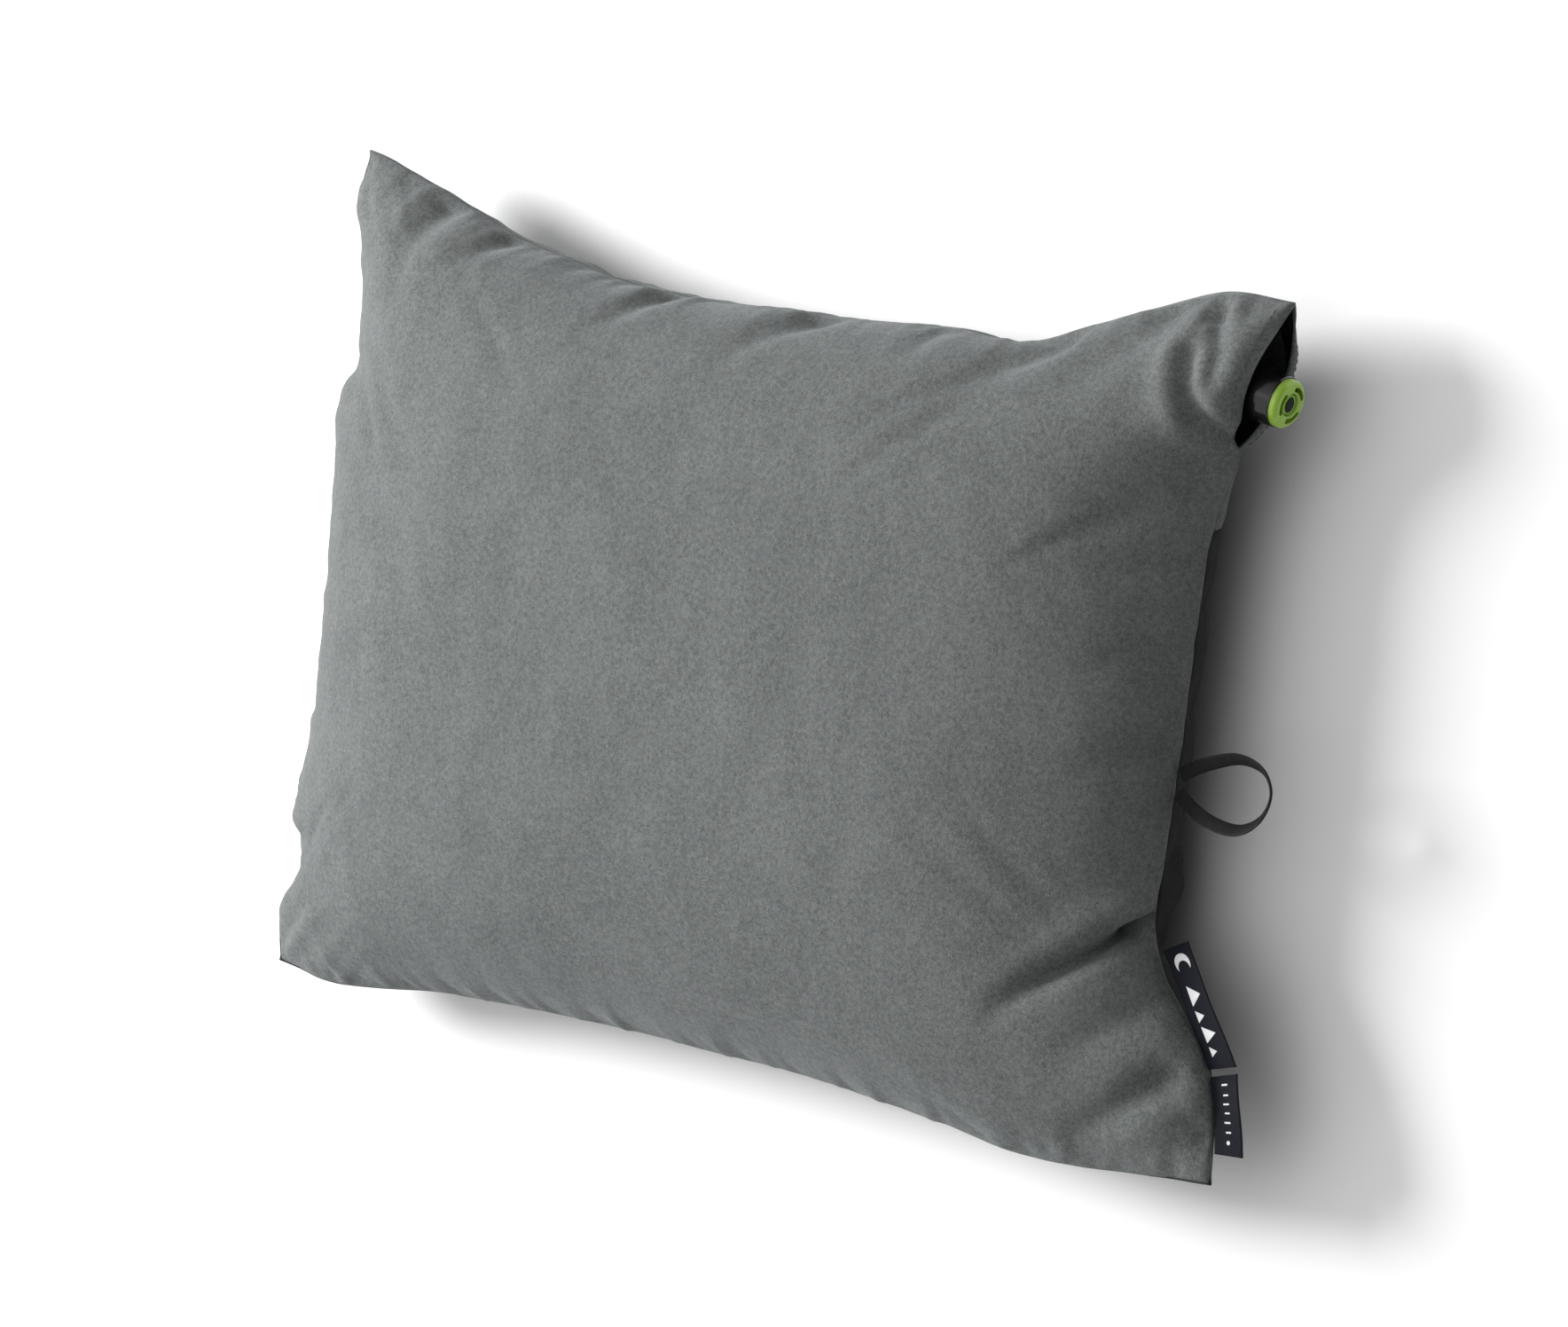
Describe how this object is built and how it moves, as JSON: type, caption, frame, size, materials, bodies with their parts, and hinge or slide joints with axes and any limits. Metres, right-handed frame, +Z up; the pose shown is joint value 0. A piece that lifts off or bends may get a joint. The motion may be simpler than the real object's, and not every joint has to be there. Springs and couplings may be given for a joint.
{
  "type": "inflatable camp pillow",
  "caption": "Rectangular inflatable camp pillow with a soft fabric cover, a twist valve at one corner, a hang loop and two sewn-in labels.",
  "frame": {"origin": "centre of the flat face that the pillow rests on, on its back panel", "axes": "+X along the long edge towards the valve, +Y along the short edge towards the valve's corner, +Z up, out of the sleeping face"},
  "size_m": [0.6188, 0.4328, 0.111],
  "materials": {
    "microsuede": "matte",
    "back_weave": "matte",
    "hem_tape": "matte",
    "elastic": "matte",
    "label_weave": "matte",
    "foam": "matte",
    "bladder_film": "satin",
    "web_film": "satin",
    "black_plastic": "satin",
    "knob_plastic": "gloss",
    "green_plastic": "satin",
    "badge_plastic": "gloss",
    "seal_rubber": "matte",
    "clip_steel": "satin"
  },
  "bodies": {
    "pillow": {"cover_front_panel": "microsuede", "cover_back_panel": "back_weave", "cover_back_band": "microsuede", "mouth_hem_front": "hem_tape", "mouth_hem_back": "hem_tape", "foam_topper": "foam", "bladder_top_sheet": "bladder_film", "bladder_bottom_sheet": "bladder_film", "baffle_web_1": "web_film", "baffle_web_2": "web_film", "baffle_web_3": "web_film", "baffle_web_4": "web_film", "baffle_web_5": "web_film", "valve_base": "black_plastic", "valve_stem": "black_plastic"},
    "valve_carrier": {"stem_ring": "seal_rubber"},
    "valve_knob": {"valve_knob": "knob_plastic", "knob_clip": "clip_steel", "valve_plug": "black_plastic", "plug_seal": "seal_rubber", "cap_ring": "green_plastic", "cap_hub": "green_plastic", "cap_badge": "badge_plastic"},
    "hang_loop": {"hang_loop": "elastic"},
    "main_label": {"main_label": "label_weave"},
    "small_label": {"small_label": "label_weave"}
  },
  "joints": [
    {"name": "knob_travel", "type": "slide", "parent": "pillow", "child": "valve_carrier", "axis": [0.9781, -0.2079, 0], "range_m": [0, 0.004]},
    {"name": "knob_turn", "type": "hinge", "parent": "valve_carrier", "child": "valve_knob", "pos_m": [0.2635, 0.1606, 0.05], "axis": [0.9781, -0.2079, 0], "range_deg": [0, 270]},
    {"name": "loop_flex", "type": "hinge", "parent": "pillow", "child": "hang_loop", "pos_m": [0.2624, -0.0235, 0.05], "axis": [0, 1, 0], "range_deg": [-40, 40], "stiffness_Nm_per_rad": 0.002},
    {"name": "main_label_flex", "type": "hinge", "parent": "pillow", "child": "main_label", "pos_m": [0.282, -0.1244, 0.05], "axis": [0.5656, -0.8247, 0], "range_deg": [-30, 30], "stiffness_Nm_per_rad": 0.002},
    {"name": "small_label_flex", "type": "hinge", "parent": "pillow", "child": "small_label", "pos_m": [0.3039, -0.1685, 0.05], "axis": [0.2249, -0.9744, 0], "range_deg": [-35, 35], "stiffness_Nm_per_rad": 0.001}
  ],
  "couplings": [
    {"joint": "knob_travel", "follows": "knob_turn", "m_per_rad": 0.000848}
  ]
}
